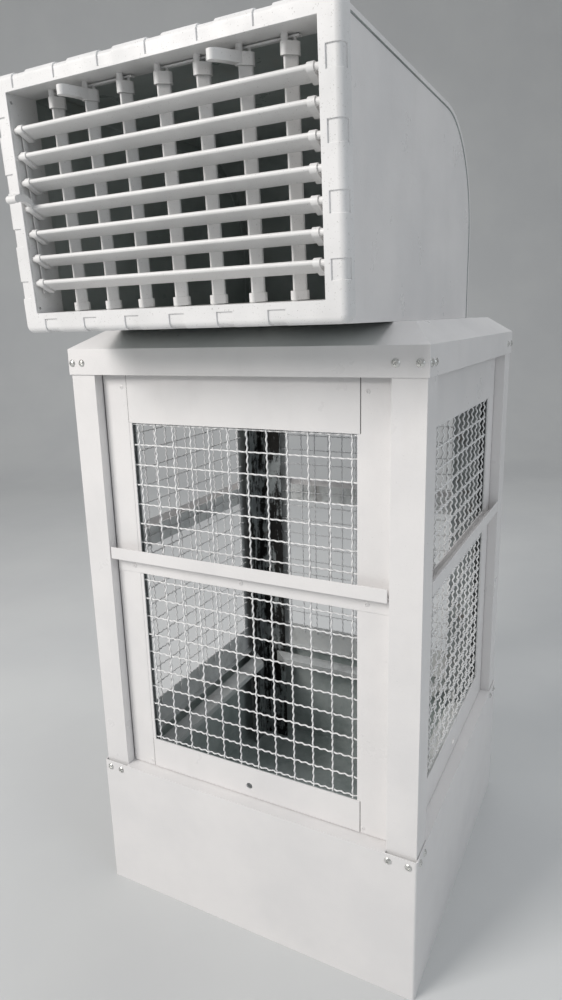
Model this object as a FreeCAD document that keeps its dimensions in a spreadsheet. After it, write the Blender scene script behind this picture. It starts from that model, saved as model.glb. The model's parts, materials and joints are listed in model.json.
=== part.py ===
import FreeCAD, Part
import math
import os
import Sketcher

# Evaporative cooler: an open water tank, four corner posts, four lift-away mesh panels, a hipped lid
# with a fan throat, and a forward-facing hood that ends in a two-way louvre grille.
# Millimetres, +Z up, front towards -Y. The origin is the centre of the tank's underside.

Vector = FreeCAD.Vector
Rotation = FreeCAD.Rotation
Placement = FreeCAD.Placement
X_AXIS = Vector(1, 0, 0)
Y_AXIS = Vector(0, 1, 0)
Z_AXIS = Vector(0, 0, 1)

SIZES = {
    # cabinet
    "cabinet_side": 450.0,
    "sheet": 1.5,
    "fit_gap": 0.5,
    "tank_depth": 456.0,
    "tank_height": 193.0,
    "tank_rim": 28.0,
    "tank_corner": 3.0,
    "post_face": 36.0,
    "post_return": 14.0,
    "post_top": 757.0,
    # mesh panels
    "panel_gap": 1.0,
    "panel_base": 193.5,
    "panel_top": 746.0,
    "panel_edge": 10.0,
    "window_half": 146.5,
    "upper_window_base": 506.0,
    "upper_window_top": 673.0,
    "lower_window_base": 236.0,
    "lower_window_top": 477.5,
    "peep_hole_height": 209.0,
    "peep_hole_dia": 8.6,
    "mesh_pitch": 25.4,
    "wire_dia": 2.0,
    "handle_lip_base": 496.5,
    "handle_lip_top": 512.0,
    "channel_leg": 46.0,
    "ledge_width": 27.0,
    "ledge_reach": 168.0,
    "ledge_top": 181.5,
    # lid
    "lid_base": 731.5,
    "lid_skirt": 31.0,
    "lid_top": 784.0,
    "lid_hip_side": 27.5,
    "lid_hip_front": 45.0,
    "throat_rad": 144.5,
    "throat_back": -15.0,
    "throat_ring_base": 705.0,
    # hood
    "hood_half": 176.0,
    "hood_top": 1027.0,
    "hood_rear": 145.0,
    "hood_bend": 138.0,
    "hood_hem": 4.5,
    "hood_hem_width": 3.0,
    "hood_seam": 1.2,
    # grille, measured from the lower front edge of its opening
    "grille_front": 328.5,
    "grille_base": 803.6,
    "grille_tilt": 3.0,
    "opening_half": 163.7,
    "opening_height": 206.7,
    "bezel_border": 20.0,
    "bezel_foot": 20.0,
    "bezel_head": 16.5,
    "bezel_depth": 18.0,
    "bezel_round": 8.0,
    "bezel_lip": 2.0,
    "sleeve_wall": 2.0,
    "sleeve_depth": 39.5,
    "notch_pitch": 52.6,
    "notch_side_pitch": 51.3,
    "notch_side_middle": 100.8,
    "notch_width": 17.0,
    "notch_reach": 15.0,
    "notch_depth": 1.4,
    # louvre blades
    "row_pitch": 24.0,
    "row_middle": 101.9,
    "row_depth": 6.5,
    "row_droop": 33.0,
    "column_pitch": 41.9,
    "column_depth": 22.1,
    "column_nose": 1.55,
    "column_tail": 2.6,
    "column_chord": 9.2,
    "column_swing_left": 24.0,
    "column_swing_right": 41.0,
    "column_lever_turn": 13.0,
    "column_lever": 27.5,
    "column_head": 6.0,
    "blade_nose": 2.3,
    "blade_tail": 0.7,
    "blade_chord": 14.0,
    "row_half_length": 151.9,
    "cap_nose": 4.3,
    "cap_tail": 3.0,
    "cap_chord": 13.0,
    "cap_width": 6.5,
    "pivot_rad": 3.0,
    "pivot_clearance": 0.05,
    "crank": 9.0,
    "crank_rad": 1.5,
    "link_width": 5.0,
    "link_thick": 1.6,
    "flange_reach": 8.0,
    # fan and water works
    "motor_rad": 55.0,
    "motor_base": 652.0,
    "bracket_top": 705.0,
    "shaft_rad": 5.0,
    "fan_base": 716.0,
    "fan_hub_rad": 38.0,
    "fan_hub_height": 32.0,
    "fan_tip_rad": 138.0,
    "pipe_rad": 6.0,
    "pipe_loop": 168.0,
    "pipe_height": 690.0,
    "valve_back": -150.0,
    "valve_height": 150.0,
    "drain_side": 130.0,
    "drain_height": 30.0,
    "drain_rad": 12.0,
    "gland_side": -205.0,
    "gland_height": 600.0,
}

BLADES = 7
MIDDLE_BLADE = 4
FACE_TURNS = {"front": 0, "right": 90, "rear": 180, "left": 270}
LID_SCREW_OFFSETS = (-219.0, -204.0, 191.5, 216.0)
TANK_SCREW_OFFSETS = (-215.0, -197.0, 191.0, 215.0)

doc = FreeCAD.newDocument("evaporative_cooler")
sheet = doc.addObject("Spreadsheet::Sheet", "sizes")


def fill_sheet():
    """Write every driving dimension into the spreadsheet, one alias per row."""
    for row, (alias, value) in enumerate(SIZES.items(), start=1):
        sheet.set("A%d" % row, alias)
        sheet.set("B%d" % row, str(value))
        sheet.setAlias("B%d" % row, alias)
    doc.recompute()


fill_sheet()


def size(alias):
    """A driving dimension, read back from the spreadsheet."""
    return float(sheet.get(alias))


NODES = {}


def publish(label, obj):
    """Register an object of the document as the sub-part that its label names."""
    obj.Label = label
    NODES[label] = obj
    return obj


# ---------------------------------------------------------------- building blocks

def bind(obj, expressions):
    """Bind properties of an object to spreadsheet expressions."""
    for name, expression in expressions.items():
        obj.setExpression(name, expression)
    return obj


def box(name, low, high):
    """A Part::Box between two corners, both given as spreadsheet expressions."""
    obj = doc.addObject("Part::Box", name)
    for prop, first, last in zip(("Length", "Width", "Height"), low, high):
        obj.setExpression(prop, "(%s) - (%s)" % (last, first))
    for axis, first in zip("xyz", low):
        obj.setExpression("Placement.Base.%s" % axis, first)
    return obj


def cylinder(name, radius, height, base, direction=Z_AXIS):
    """A Part::Cylinder from its base centre along a direction, sized by expressions."""
    obj = doc.addObject("Part::Cylinder", name)
    obj.Placement = Placement(Vector(), Rotation(Z_AXIS, direction))
    bind(obj, {"Radius": radius, "Height": height})
    for axis, expression in zip("xyz", base):
        obj.setExpression("Placement.Base.%s" % axis, expression)
    return obj


def fuse(name, pieces):
    obj = doc.addObject("Part::MultiFuse", name)
    obj.Shapes = pieces
    obj.Refine = True
    return obj


def cut(name, base, tools):
    obj = doc.addObject("Part::Cut", name)
    obj.Base = base
    obj.Tool = tools[0] if len(tools) == 1 else fuse(name + "_tools", tools)
    return obj


def group(name, pieces):
    """Separate solids kept side by side as one sub-part."""
    obj = doc.addObject("Part::Compound", name)
    obj.Links = pieces
    return obj


def feature(name, shape, placement=None):
    """A sub-part whose outline has tangent arcs or a free form, shaped by code from the sheet."""
    obj = doc.addObject("Part::Feature", name)
    obj.Shape = shape
    if placement is not None:
        obj.Placement = placement
    return obj


def origin_plane(body, role):
    for item in body.Origin.OriginFeatures:
        if item.Role == role:
            return item
    raise RuntimeError("no origin plane " + role)


def sketch_outline(body, name, role, corners):
    """A closed sketch polygon. Each corner is a pair of expressions, measured from the origin."""
    sketch = body.newObject("Sketcher::SketchObject", name)
    sketch.AttachmentSupport = [(origin_plane(body, role), "")]
    sketch.MapMode = "FlatFace"
    values = [tuple(evaluate(part) for part in corner) for corner in corners]
    count = len(corners)
    for index in range(count):
        start = Vector(values[index][0], values[index][1], 0)
        end = Vector(values[(index + 1) % count][0], values[(index + 1) % count][1], 0)
        sketch.addGeometry(Part.LineSegment(start, end), False)
    for index in range(count):
        sketch.addConstraint(Sketcher.Constraint("Coincident", index, 2, (index + 1) % count, 1))
    for index, corner in enumerate(corners):
        for kind, value, expression in zip(("DistanceX", "DistanceY"), values[index], corner):
            number = sketch.addConstraint(Sketcher.Constraint(kind, -1, 1, index, 1, value))
            sketch.setExpression("Constraints[%d]" % number, expression)
    return sketch


def evaluate(expression):
    """The number that a spreadsheet expression stands for."""
    return float(sheet.evalExpression(expression.replace("sizes.", "")))


def padded_body(name, role, corners, length, midplane=False):
    """A PartDesign body: one outline padded to a length given as an expression."""
    body = doc.addObject("PartDesign::Body", name)
    sketch = sketch_outline(body, name + "_outline", role, corners)
    pad = body.newObject("PartDesign::Pad", name + "_pad")
    pad.Profile = sketch
    pad.SideType = "Symmetric" if midplane else "One side"
    pad.setExpression("Length", length)
    return body


def turn(obj, degrees):
    """Turn a whole sub-part about the cooler's vertical centre line."""
    obj.Placement = Placement(Vector(), Rotation(Z_AXIS, degrees))
    return obj


def polygon_prism(points, direction):
    """A solid prism over a planar polygon of vectors."""
    wire = Part.makePolygon(points + points[:1])
    return Part.Face(wire).extrude(direction)


def teardrop(nose, tail, chord, start, length):
    """A prism along +Z whose section wraps two circles: nose at the origin, tail on the +X axis."""
    angle = math.acos((nose - tail) / chord)
    across, along = math.sin(angle), math.cos(angle)
    nose_top = Vector(nose * along, nose * across, start)
    nose_low = Vector(nose * along, -nose * across, start)
    tail_top = Vector(chord + tail * along, tail * across, start)
    tail_low = Vector(chord + tail * along, -tail * across, start)
    edges = [
        Part.LineSegment(nose_top, tail_top).toShape(),
        Part.Arc(tail_top, Vector(chord + tail, 0, start), tail_low).toShape(),
        Part.LineSegment(tail_low, nose_low).toShape(),
        Part.Arc(nose_low, Vector(-nose, 0, start), nose_top).toShape(),
    ]
    return Part.Face(Part.Wire(edges)).extrude(Vector(0, 0, length))


# ---------------------------------------------------------------- cabinet

def make_tank():
    """Open-topped water tank with an inward rim along each side, notched for the posts."""
    half = "sizes.cabinet_side / 2"
    deep = "sizes.tank_depth / 2"
    wall = "sizes.sheet"
    top = "sizes.tank_height"
    shell = box("tank_shell", ("-%s" % half, "-%s" % deep, "0"), (half, deep, top))
    rounded = doc.addObject("Part::Fillet", "tank_rounded")
    rounded.Base = shell
    doc.recompute()
    corner = size("tank_corner")
    upright = [
        number for number, edge in enumerate(shell.Shape.Edges, start=1)
        if edge.BoundBox.ZLength > size("tank_height") - 1
    ]
    rounded.Edges = [(number, corner, corner) for number in upright]
    hollow = box(
        "tank_hollow",
        ("-%s + %s" % (half, wall), "-%s + %s" % (deep, wall), wall),
        ("%s - %s" % (half, wall), "%s - %s" % (deep, wall), "%s + 1" % top),
    )
    drain = cylinder(
        "tank_drain_hole", "sizes.drain_rad + sizes.pivot_clearance", "8",
        ("sizes.drain_side", "%s - 5" % deep, "sizes.drain_height"), Y_AXIS,
    )
    inlet = cylinder(
        "tank_inlet_hole", "8.2", "8",
        ("-%s - 3" % half, "sizes.valve_back", "sizes.valve_height"), X_AXIS,
    )
    walls = cut("tank_walls", rounded, [hollow, drain, inlet])
    span = "(%s - sizes.post_face - 2)" % half
    rims = []
    for name, sign in (("front", -1), ("rear", 1)):
        outer = "(%s - 1) * %d" % (deep, sign)
        inner = "(%s - sizes.tank_rim) * %d" % (deep, sign)
        low, high = (outer, inner) if sign < 0 else (inner, outer)
        rims.append(box(
            "tank_rim_" + name,
            ("-%s" % span, low, "%s - %s" % (top, wall)), (span, high, top),
        ))
    for name, sign in (("left", -1), ("right", 1)):
        outer = "(%s - 1) * %d" % (half, sign)
        inner = "(%s - sizes.tank_rim + 3) * %d" % (half, sign)
        low, high = (outer, inner) if sign < 0 else (inner, outer)
        rims.append(box(
            "tank_rim_" + name,
            (low, "-%s" % span, "%s - %s" % (top, wall)), (high, span, top),
        ))
    publish("tank", fuse("tank_body", [walls] + rims))


def make_posts():
    """Four folded corner posts: two visible leaves and a short return at each free edge."""
    outer = "(sizes.cabinet_side / 2 - sizes.sheet - sizes.fit_gap)"
    inner = "(%s - sizes.post_face)" % outer
    deep = "(%s - sizes.post_return)" % outer
    wall = "sizes.sheet"
    corners = [
        (inner, "-%s" % deep),
        (inner, "-%s" % outer),
        (outer, "-%s" % outer),
        (outer, "-%s" % inner),
        (deep, "-%s" % inner),
        (deep, "-%s - %s" % (inner, wall)),
        ("%s - %s" % (outer, wall), "-%s - %s" % (inner, wall)),
        ("%s - %s" % (outer, wall), "-%s + %s" % (outer, wall)),
        ("%s + %s" % (inner, wall), "-%s + %s" % (outer, wall)),
        ("%s + %s" % (inner, wall), "-%s" % deep),
    ]
    names = {"post_front_right": 0, "post_rear_right": 90, "post_rear_left": 180, "post_front_left": 270}
    for label, degrees in names.items():
        post = padded_body(label + "_body", "XY_Plane", corners, "sizes.post_top - %s" % wall)
        post.Placement = Placement(Vector(0, 0, size("sheet")), Rotation(Z_AXIS, degrees))
        if label != "post_rear_left":
            publish(label, post)
            continue
        hole = cylinder(
            "gland_hole", "8.2", "12",
            ("sizes.gland_side", "%s - 6" % outer, "sizes.gland_height"), Y_AXIS,
        )
        publish(label, cut("post_rear_left_drilled", post, [hole]))


def make_corner_channels():
    """Galvanised angles inside the corners: they stop the panels and reach the tank floor."""
    stop = "(sizes.cabinet_side / 2 - 28)"
    free = "(%s - sizes.channel_leg)" % stop
    wall = "sizes.sheet"
    corners = [
        (stop, "-%s" % stop),
        (stop, "-%s" % free),
        ("%s - %s" % (stop, wall), "-%s" % free),
        ("%s - %s" % (stop, wall), "-%s + %s" % (stop, wall)),
        (free, "-%s + %s" % (stop, wall)),
        (free, "-%s" % stop),
    ]
    angles = []
    for number in range(4):
        angle = padded_body("channel_%d" % number, "XY_Plane", corners, "sizes.post_top - %s" % wall)
        angle.Placement = Placement(Vector(0, 0, size("sheet")), Rotation(Z_AXIS, 90 * number))
        angles.append(angle)
    publish("corner_channels", group("channel_set", angles))


def make_pad_ledges():
    """Four folded ledges with mitred ends, fixed to the channels, that carry the wet pads."""
    wall = size("sheet")
    back = size("cabinet_side") / 2 - 28 - wall
    free = back - size("ledge_width")
    reach = size("ledge_reach")
    short = reach - size("ledge_width")
    top = size("ledge_top")
    outline = [
        Vector(back, -reach, top - wall),
        Vector(back, reach, top - wall),
        Vector(free, short, top - wall),
        Vector(free, -short, top - wall),
    ]
    shelf = polygon_prism(outline, Vector(0, 0, wall))
    lip = Part.makeBox(wall, 2 * short, 8, Vector(free, -short, top - wall - 8))
    hanger = Part.makeBox(wall, 2 * reach, 20, Vector(back - wall, -reach, top - wall - 20))
    ledge = shelf.fuse([lip, hanger]).removeSplitter()
    ledges = []
    for degrees in FACE_TURNS.values():
        copy = ledge.copy()
        copy.rotate(Vector(), Z_AXIS, degrees)
        ledges.append(copy)
    publish("pad_ledges", feature("pad_ledge_set", Part.makeCompound(ledges)))


def make_panel(side, degrees):
    """One removable panel: folded frame, wire mesh, finger bar and rivets, turned to its side."""
    wall = "sizes.sheet"
    half = "(sizes.cabinet_side / 2 - 2 - sizes.post_face - sizes.panel_gap)"
    face = "(-sizes.cabinet_side / 2 + 2 + sizes.post_return)"
    back = "(%s + sizes.panel_edge)" % face
    tray = box(
        side + "_frame_tray",
        ("-%s" % half, face, "sizes.panel_base"), (half, back, "sizes.panel_top"),
    )
    hollow = box(
        side + "_frame_hollow",
        ("-%s + %s" % (half, wall), "%s + %s" % (face, wall), "sizes.panel_base + %s" % wall),
        ("%s - %s" % (half, wall), "%s + 1" % back, "sizes.panel_top - %s" % wall),
    )
    windows = [
        box(
            "%s_%s_window" % (side, name),
            ("-sizes.window_half", "%s - 1" % face, "sizes.%s_window_base" % name),
            ("sizes.window_half", "%s + 3" % face, "sizes.%s_window_top" % name),
        )
        for name in ("upper", "lower")
    ]
    peep = cylinder(
        side + "_peep_hole", "sizes.peep_hole_dia / 2", "6",
        ("0", "%s - 1" % face, "sizes.peep_hole_height"), Y_AXIS,
    )
    frame = cut(side + "_frame_cut", tray, [hollow, peep] + windows)
    publish("%s_panel_frame" % side, turn(frame, degrees))

    outer = "(sizes.cabinet_side / 2 - 2)"
    section = [
        ("%s - %s" % (face, wall), "sizes.lower_window_top"),
        (face, "sizes.lower_window_top"),
        (face, "sizes.handle_lip_base + %s" % wall),
        ("-%s + %s" % (outer, wall), "sizes.handle_lip_base + %s" % wall),
        ("-%s + %s" % (outer, wall), "sizes.handle_lip_top"),
        ("-%s" % outer, "sizes.handle_lip_top"),
        ("-%s" % outer, "sizes.handle_lip_base"),
        ("%s - %s" % (face, wall), "sizes.handle_lip_base"),
    ]
    bar = padded_body(side + "_bar", "YZ_Plane", section, "2 * %s - 2" % half, midplane=True)
    publish("%s_panel_handle" % side, turn(bar, degrees))

    publish("%s_panel_mesh" % side, turn(feature(side + "_wires", mesh_wires()), degrees))
    publish("%s_panel_rivets" % side, turn(feature(side + "_rivet_set", panel_rivets()), degrees))


def panel_face():
    return -size("cabinet_side") / 2 + 2 + size("post_return")


def mesh_wires():
    """Upright wires with a layer of level wires behind them, at one pitch both ways."""
    pitch = size("mesh_pitch")
    radius = size("wire_dia") / 2
    front = panel_face() + size("sheet") + 0.1 + radius
    rear = front + size("wire_dia") + 0.1
    low = size("lower_window_base") - 12
    high = size("upper_window_top") + 12
    half = size("window_half") + 8
    columns = int(2 * size("window_half") / pitch) + 1
    rows = int((high - low) / pitch)
    wires = []
    for column in range(columns):
        across = (column - (columns - 1) / 2) * pitch
        wires.append(Part.makeCylinder(radius, high - low, Vector(across, front, low)))
    for row in range(rows):
        level = (low + high) / 2 + (row - (rows - 1) / 2) * pitch
        wires.append(Part.makeCylinder(radius, 2 * half, Vector(-half, rear, level), X_AXIS))
    return Part.makeCompound(wires)


def panel_rivets():
    """Domed pull rivets: three through the finger bar, two at the head and two at the foot."""
    face = panel_face()
    strip = face - size("sheet")
    places = [Vector(across, strip, 487) for across in (-158, 0, 158)]
    places += [Vector(across, face, 716) for across in (-158, 158)]
    places += [Vector(across, face, 201) for across in (-154, 154)]
    return Part.makeCompound([rivet(place) for place in places])


def rivet(place):
    """A rivet whose dome faces -Y, with the hole that its mandrel leaves."""
    dome = Part.makeSphere(5.0, Vector(0, 3.5, 0))
    head = dome.common(Part.makeBox(10, 3, 10, Vector(-5, -3, -5)))
    stem = Part.makeCylinder(1.6, 3.0, Vector(0, 0, 0), Y_AXIS)
    body = head.fuse(stem).cut(Part.makeCylinder(0.9, 1.2, Vector(0, -1.6, 0), Y_AXIS))
    body.translate(place)
    return body


# ---------------------------------------------------------------- lid and hood

def make_lid():
    """Folded lid: a skirt, four hip slopes and a flat top with the round fan throat."""
    half = "(sizes.cabinet_side / 2)"
    eaves = "(sizes.lid_base + sizes.lid_skirt)"
    wall = "sizes.sheet"

    def shell(name, inset, base, knee, top):
        skirt = box(
            name + "_skirt",
            ("-%s + %s" % (half, inset), "-%s + %s" % (half, inset), base),
            ("%s - %s" % (half, inset), "%s - %s" % (half, inset), knee),
        )
        roof = doc.addObject("Part::Wedge", name + "_roof")
        roof.Placement = Placement(Vector(), Rotation(X_AXIS, 90))
        bind(roof, {
            "Xmin": "-%s + %s" % (half, inset),
            "Xmax": "%s - %s" % (half, inset),
            "Zmin": "-%s + %s" % (half, inset),
            "Zmax": "%s - %s" % (half, inset),
            "Ymin": "0",
            "Ymax": "%s - %s" % (top, knee),
            "X2min": "-%s + sizes.lid_hip_side + %s" % (half, inset),
            "X2max": "%s - sizes.lid_hip_side - %s" % (half, inset),
            "Z2min": "-%s + sizes.lid_hip_front + %s" % (half, inset),
            "Z2max": "%s - sizes.lid_hip_front - %s" % (half, inset),
            "Placement.Base.z": knee,
        })
        return fuse(name, [skirt, roof])

    outside = shell("lid_outside", "0", "sizes.lid_base", eaves, "sizes.lid_top")
    inside = shell(
        "lid_inside", wall, "sizes.lid_base - 1", "(%s - 0.8)" % eaves, "(sizes.lid_top - %s)" % wall,
    )
    throat = cylinder(
        "lid_throat", "sizes.throat_rad", "20",
        ("0", "sizes.throat_back", "sizes.lid_top - 10"),
    )
    publish("lid", cut("lid_sheet", outside, [inside, throat]))


def make_throat_ring():
    """Venturi ring that hangs below the lid around the fan, with a flange at its top."""
    base = "sizes.throat_ring_base"
    under = "(sizes.lid_top - sizes.sheet)"
    center = ("0", "sizes.throat_back")
    tube = cylinder("ring_tube", "sizes.throat_rad + 2", "%s - %s" % (under, base), center + (base,))
    flange = cylinder("ring_flange", "sizes.throat_rad + 12", "2", center + ("%s - 2" % under,))
    bore_height = "%s - %s + 2" % (under, base)
    bore = cylinder("ring_bore", "sizes.throat_rad", bore_height, center + ("%s - 1" % base,))
    publish("throat_ring", cut("ring", fuse("ring_solid", [tube, flange]), [bore]))


def hood_front(height):
    """Where the bezel's back plane lies at a height."""
    tilt = math.radians(size("grille_tilt"))
    along = (height - size("grille_base") - size("bezel_depth") * math.sin(tilt)) / math.cos(tilt)
    return -size("grille_front") - along * math.sin(tilt) + size("bezel_depth") * math.cos(tilt)


def hood_profile(inset, half, seam=0.0):
    """The hood's side outline, set in from its top and back, as a prism between the two sides."""
    base = size("lid_top") + seam
    top = size("hood_top") - inset
    rear = size("hood_rear") - inset
    bend = size("hood_bend") - inset
    slant = bend * math.sqrt(0.5)
    corners = [
        Vector(-half, hood_front(base) + seam, base),
        Vector(-half, hood_front(top) + seam, top),
        Vector(-half, rear - bend, top),
        Vector(-half, rear, top - bend),
        Vector(-half, rear, base),
    ]
    middle = Vector(-half, rear - bend + slant, top - bend + slant)
    edges = [
        Part.LineSegment(corners[0], corners[1]).toShape(),
        Part.LineSegment(corners[1], corners[2]).toShape(),
        Part.Arc(corners[2], middle, corners[3]).toShape(),
        Part.LineSegment(corners[3], corners[4]).toShape(),
        Part.LineSegment(corners[4], corners[0]).toShape(),
    ]
    return Part.Face(Part.Wire(edges)).extrude(Vector(2 * half, 0, 0))


def make_hood():
    """Hood: one sheet wraps the top and back, hemmed at both edges; flat sides sit inside it."""
    half = size("hood_half")
    wall = size("sheet")
    hem = size("hood_hem")
    core = hood_profile(0, half)
    sheet_cut = hood_profile(wall, half + 1, seam=-2)
    hem_cut = hood_profile(hem, half + 1, seam=-2)
    skin = core.cut(sheet_cut)
    edge = core.cut(hem_cut)
    rims = []
    for low in (-half, half - size("hood_hem_width")):
        strip = Part.makeBox(size("hood_hem_width"), 900, 600, Vector(low, -500, 600))
        rims.append(edge.common(strip))
    wrap = skin.fuse(rims).removeSplitter()
    publish("hood_wrap", feature("hood_sheet", wrap))

    inset = hem + size("hood_seam")
    side_out = half - 1.0
    plate = hood_profile(inset, side_out)
    inner = hood_profile(inset + size("flange_reach"), half + 1, seam=-2)
    rim = plate.cut(inner)
    flange = hood_profile(wall + 0.2, half).cut(inner)
    flange_face = half - size("hood_hem_width") - 0.1
    bands = (
        (plate, side_out - wall, side_out),
        (rim, flange_face - wall, side_out),
        (flange, flange_face - wall, flange_face),
    )
    for label, side in (("hood_side_left", -1), ("hood_side_right", 1)):
        parts = []
        for outline, near, far in bands:
            low = min(side * near, side * far)
            parts.append(outline.common(Part.makeBox(far - near, 900, 600, Vector(low, -500, 600))))
        publish(label, feature(label + "_plate", parts[0].fuse(parts[1:]).removeSplitter()))

    reach = side_out - wall - 0.3
    front = hood_front(size("lid_top")) + 0.5
    lap = -size("cabinet_side") / 2 + size("lid_hip_front") + 10
    floor = Part.makeBox(2 * reach, lap - front, wall, Vector(-reach, front, size("lid_top")))
    publish("hood_floor", feature("hood_floor_plate", floor))


# ---------------------------------------------------------------- grille

def grille_place():
    """The grille's own frame: X across, Y into the hood, Z up the sloping face."""
    corner = Vector(0, -size("grille_front"), size("grille_base"))
    return Placement(corner, Rotation(X_AXIS, size("grille_tilt")))


def row_level(number):
    """Height of a level blade's pivot above the opening's lower edge."""
    return size("row_middle") + (MIDDLE_BLADE - number) * size("row_pitch")


def column_across(number):
    """Sideways place of an upright blade's pivot."""
    return (number - MIDDLE_BLADE) * size("column_pitch")


def bezel_block(inset):
    """The bezel's outer form with rounded corners and front edges, set in evenly on every face."""
    half = size("opening_half") + size("bezel_border") - inset
    low = inset - size("bezel_foot")
    high = size("opening_height") + size("bezel_head") - inset
    body = Part.makeBox(2 * half, size("bezel_depth") - inset, high - low, Vector(-half, inset, low))
    corners = [edge for edge in body.Edges if edge.BoundBox.YLength > size("bezel_depth") / 2]
    body = body.makeFillet(size("bezel_round") - inset, corners)
    rims = [edge for edge in body.Edges if edge.BoundBox.YMax < inset + 0.01]
    return body.makeFillet(size("bezel_round") - 1.5 - inset, rims)


def make_bezel():
    """Moulded bezel: a frame with a rounded outer edge, clip notches, and a rebate for the sleeve."""
    half = size("opening_half")
    tall = size("opening_height")
    depth = size("bezel_depth")
    wall = size("sleeve_wall")
    side = half + wall + 0.2
    opening = Part.makeBox(2 * half, 3 * depth, tall, Vector(-half, -depth, 0))
    seat = Vector(-side, size("bezel_lip"), -wall - 0.2)
    rebate = Part.makeBox(2 * side, depth, tall + 2 * wall + 0.4, seat)
    body = bezel_block(0).cut([opening, rebate] + bezel_notches())
    publish("grille_bezel", feature("bezel", body, grille_place()))


def bezel_notches():
    """Shallow clip pockets that wrap over the rounded edge: six below and above, four each side."""
    half = size("opening_half") + size("bezel_border")
    tall = size("opening_height")
    pitch = size("notch_pitch")
    width = size("notch_width")
    reach = size("notch_reach")
    low = -size("bezel_foot") - 1
    high = tall + size("bezel_head") + 1 - reach
    back = 12
    boxes = []
    for number in range(6):
        across = (number - 2.5) * pitch - 14 - width / 2
        for edge in (low, high):
            boxes.append(Part.makeBox(width, back, reach, Vector(across, -1, edge)))
    for number in range(4):
        level = size("notch_side_middle") + (number - 1.5) * size("notch_side_pitch") - width / 2
        for edge in (-half - 1, half + 1 - reach):
            boxes.append(Part.makeBox(reach, back, width, Vector(edge, -1, level)))
    core = bezel_block(size("notch_depth"))
    return [box.cut(core) for box in boxes]


def make_sleeve():
    """Four-walled sleeve behind the bezel, drilled for every blade pivot."""
    half = size("opening_half")
    tall = size("opening_height")
    wall = size("sleeve_wall")
    front = size("bezel_lip") + 0.1
    depth = size("sleeve_depth") - front
    outer = Part.makeBox(2 * (half + wall), depth, tall + 2 * wall, Vector(-half - wall, front, -wall))
    inner = Part.makeBox(2 * half, depth + 2, tall, Vector(-half, front - 1, 0))
    tools = [inner]
    radius = size("pivot_rad") + size("pivot_clearance")
    for number in range(1, BLADES + 1):
        row = Vector(-half - 10, size("row_depth"), row_level(number))
        column = Vector(column_across(number), size("column_depth"), -10)
        tools.append(Part.makeCylinder(radius, 2 * half + 20, row, X_AXIS))
        tools.append(Part.makeCylinder(radius, tall + 20, column, Z_AXIS))
    for level in (5.0, tall - 8.0):
        place = Vector(-half - 10, front + 3.5, level)
        tools.append(Part.makeCylinder(1.6, 2 * half + 20, place, X_AXIS))
    publish("grille_sleeve", feature("sleeve", outer.cut(tools), grille_place()))


def row_rotation():
    """Turns a blade's own frame, chord along +X and span along +Z, to the level blades' droop."""
    angle = math.radians(size("row_droop"))
    chord = Vector(0, math.cos(angle), -math.sin(angle))
    return Rotation(chord, X_AXIS.cross(chord), X_AXIS, "XYZ")


def blade_solid(low, high):
    """The aerofoil blade between two stations on its axis, nose a little ahead of the pivot."""
    blade = teardrop(size("blade_nose"), size("blade_tail"), size("blade_chord"), low, high - low)
    blade.translate(Vector(-1, 0, 0))
    return blade


def make_row_blades():
    """Seven level blades with end caps. The middle one's left cap carries the finger lever."""
    end = size("row_half_length")
    cap_in = end + 0.1
    cap_out = cap_in + size("cap_width")
    wall_face = size("opening_half")
    pin_end = wall_face + size("sleeve_wall") - 0.2
    pin_length = pin_end - cap_out + 1
    crank_end = wall_face - 0.4
    for number in range(1, BLADES + 1):
        right = teardrop(size("cap_nose"), size("cap_tail"), size("cap_chord"), cap_in, size("cap_width"))
        right_pin = Part.makeCylinder(size("pivot_rad"), pin_length, Vector(0, 0, cap_out - 1))
        left = teardrop(size("cap_nose"), size("cap_tail"), size("cap_chord"), -cap_out, size("cap_width"))
        left_pin = Part.makeCylinder(size("pivot_rad"), pin_length, Vector(0, 0, -pin_end))
        crank_base = Vector(size("crank"), 0, -crank_end)
        crank = Part.makeCylinder(size("crank_rad"), crank_end - cap_out + 1, crank_base)
        additions = [left_pin, crank]
        if number == MIDDLE_BLADE:
            additions += row_lever(cap_out)
        caps = [left.fuse(additions).removeSplitter(), right.fuse(right_pin)]
        pivot = Vector(0, size("row_depth"), row_level(number))
        place = grille_place() * Placement(pivot, row_rotation())
        shape = Part.makeCompound([blade_solid(-end, end)] + caps)
        publish("row_blade_%d" % number, feature("row_blade_shape_%d" % number, shape, place))


def row_lever(cap_out):
    """The curved finger lever and its knob, in the middle blade's own frame."""
    def at(back, up):
        return Vector(-cap_out, back, up)

    edges = [
        Part.Arc(at(-1, 4.2), at(-11, 11.8), at(-22, 11.0)).toShape(),
        Part.Arc(at(-22, 11.0), at(-25.4, 7.4), at(-22, 3.8)).toShape(),
        Part.Arc(at(-22, 3.8), at(-10, 5.0), at(0, -4.0)).toShape(),
        Part.LineSegment(at(0, -4.0), at(-1, 4.2)).toShape(),
    ]
    arm = Part.Face(Part.Wire(edges)).extrude(Vector(size("cap_width"), 0, 0))
    knob = Part.makeCylinder(3.8, 7.0, at(-21.6, 7.4) - Vector(7, 0, 0), X_AXIS)
    knob = knob.makeFillet(1.6, [edge for edge in knob.Edges if edge.BoundBox.XMax < -cap_out - 6.9])
    for piece in (arm, knob):
        piece.Placement = Placement(Vector(), row_rotation().inverted()) * piece.Placement
    return [arm, knob]


def column_swing(number):
    """How far an upright blade's rear edge stands over towards +X: each gang has its own angle."""
    return size("column_swing_left" if number < MIDDLE_BLADE else "column_swing_right")


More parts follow.
